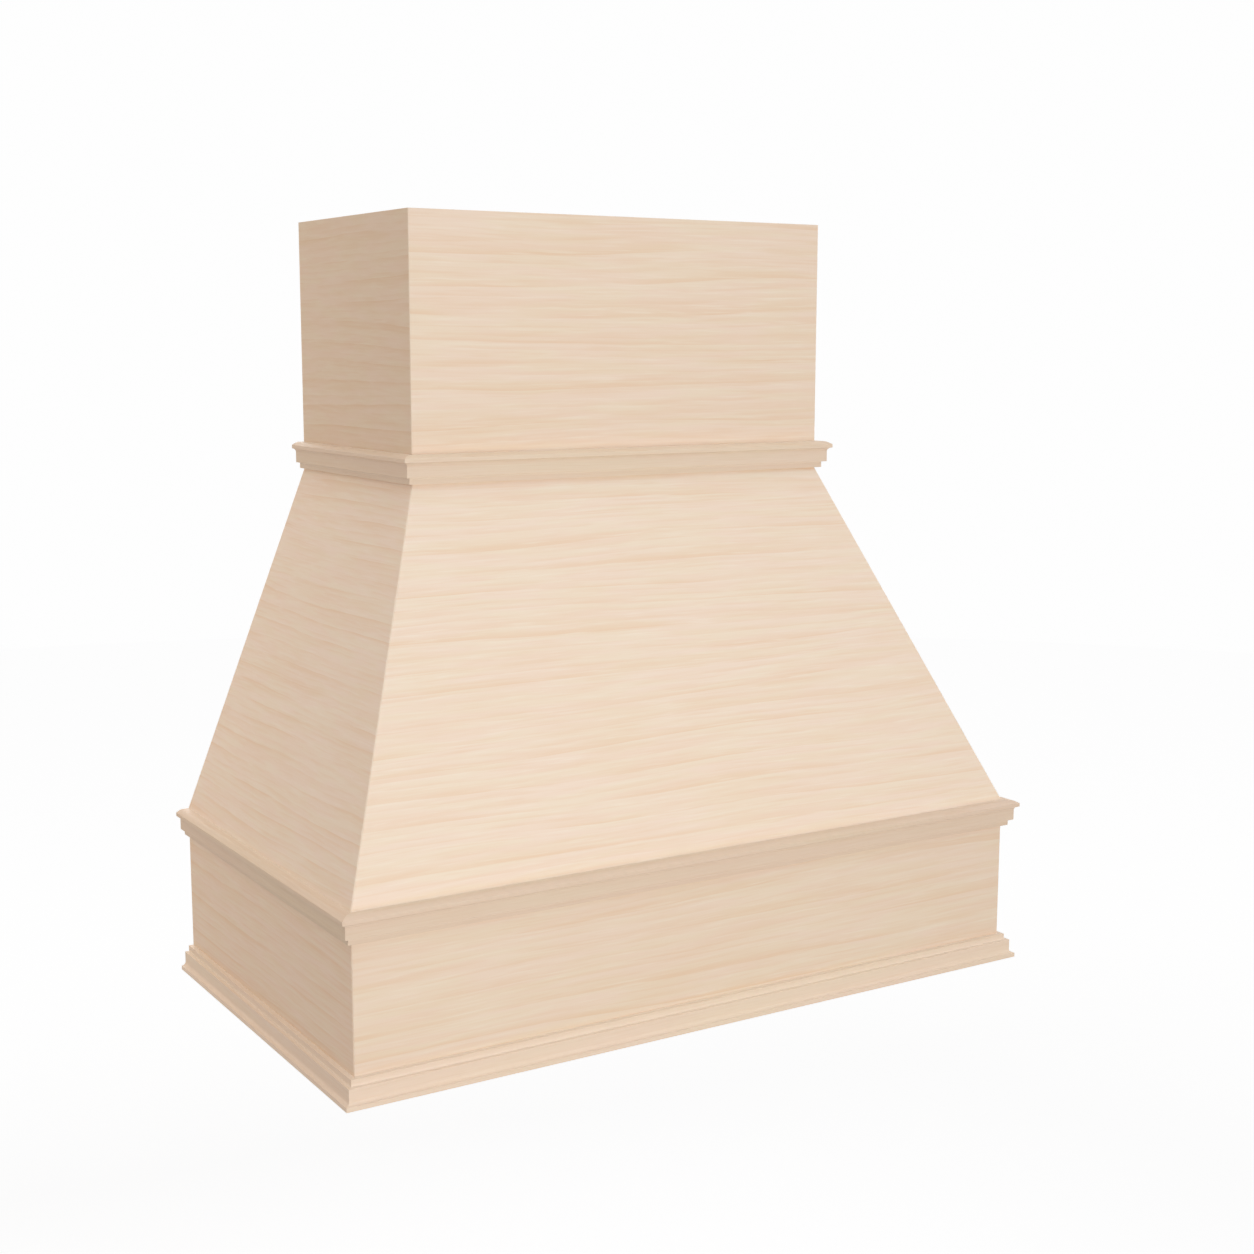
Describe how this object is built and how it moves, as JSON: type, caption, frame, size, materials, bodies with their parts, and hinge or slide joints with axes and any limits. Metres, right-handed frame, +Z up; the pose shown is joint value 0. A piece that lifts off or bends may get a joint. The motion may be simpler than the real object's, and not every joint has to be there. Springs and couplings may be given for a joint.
{
  "type": "wooden range hood cover",
  "caption": "Wall-hung wooden range hood cover: chimney box, tapered body and apron in maple-faced plywood, with mitred mouldings, open back and underside.",
  "frame": {"origin": "middle of the cover's lower back edge, on the wall plane", "axes": "+X to the right seen from the front, +Y into the wall, +Z up"},
  "size_m": [0.9144, 0.5085, 0.914],
  "materials": {
    "panel_maple": "bare sanded maple face veneer on plywood, level grain",
    "trim_maple": "bare sanded solid maple moulding",
    "frame_plywood": "plain birch plywood with bare edges",
    "block_hardwood": "sawn hardwood blocks and plywood tongues",
    "screw_steel": "yellow zinc plated countersunk screws"
  },
  "bodies": {
    "root": {"apron_block_left": "block_hardwood", "apron_block_right": "block_hardwood", "apron_block_screws": "screw_steel", "apron_front_panel": "panel_maple", "apron_left_panel": "panel_maple", "apron_right_panel": "panel_maple", "apron_spline_left": "block_hardwood", "apron_spline_right": "block_hardwood", "base_trim_front": "trim_maple", "base_trim_left": "trim_maple", "base_trim_right": "trim_maple", "bottom_rail": "frame_plywood", "chimney_block_left": "block_hardwood", "chimney_block_right": "block_hardwood", "chimney_block_screws": "screw_steel", "chimney_front_panel": "panel_maple", "chimney_left_panel": "panel_maple", "chimney_right_panel": "panel_maple", "chimney_spline_left": "block_hardwood", "chimney_spline_right": "block_hardwood", "hip_block_left": "block_hardwood", "hip_block_right": "block_hardwood", "hip_spline_left": "block_hardwood", "hip_spline_right": "block_hardwood", "insert_ledger_back": "frame_plywood", "insert_ledger_front": "frame_plywood", "insert_ledger_left": "frame_plywood", "insert_ledger_right": "frame_plywood", "middle_mounting_rail": "frame_plywood", "middle_trim_front": "trim_maple", "middle_trim_left": "trim_maple", "middle_trim_right": "trim_maple", "shoulder_frame_back": "frame_plywood", "shoulder_frame_front": "frame_plywood", "shoulder_frame_left": "frame_plywood", "shoulder_frame_right": "frame_plywood", "taper_front_panel": "panel_maple", "taper_left_panel": "panel_maple", "taper_right_panel": "panel_maple", "upper_mounting_rail": "frame_plywood", "upper_trim_front": "trim_maple", "upper_trim_left": "trim_maple", "upper_trim_right": "trim_maple", "waist_frame_back": "frame_plywood", "waist_frame_front": "frame_plywood", "waist_frame_left": "frame_plywood", "waist_frame_right": "frame_plywood"}
  },
  "joints": []
}
